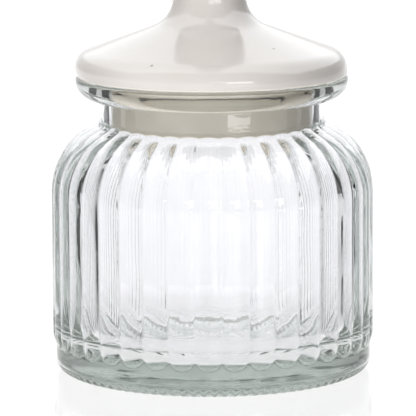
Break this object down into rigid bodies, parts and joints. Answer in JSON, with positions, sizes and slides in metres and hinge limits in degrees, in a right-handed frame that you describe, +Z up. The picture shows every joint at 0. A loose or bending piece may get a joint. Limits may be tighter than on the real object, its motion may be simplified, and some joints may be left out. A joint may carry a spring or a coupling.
{
  "type": "apothecary jar",
  "caption": "Round ribbed glass storage jar with a flanged lip and a glazed ceramic lid, knob on top, sealed by a silicone gasket on the lid's plug.",
  "frame": {"origin": "centre of the bearing ring that the jar stands on, at the resting plane", "axes": "+Z up along the axis of the jar and the lid; the jar is round, so +X and +Y are any two level directions, with a rib centred on -Y"},
  "size_m": [0.1246, 0.125, 0.1818],
  "materials": {
    "clear_glass": "clear soda-lime glass with a faint green tint, fire-polished",
    "cream_glaze": "glossy off-white glaze",
    "beige_silicone": "satin translucent beige silicone"
  },
  "bodies": {
    "jar": {"glass_jar": "clear_glass"},
    "gasket": {"sealing_gasket": "beige_silicone"},
    "lid": {"lid": "cream_glaze"}
  },
  "joints": [
    {"name": "lid_lift", "type": "slide", "parent": "jar", "child": "gasket", "axis": [0, 0, 1], "range_m": [0, 0.12]},
    {"name": "lid_turn", "type": "hinge", "parent": "gasket", "child": "lid", "pos_m": [0, 0, 0.1148], "axis": [0, 0, 1], "continuous": true}
  ]
}
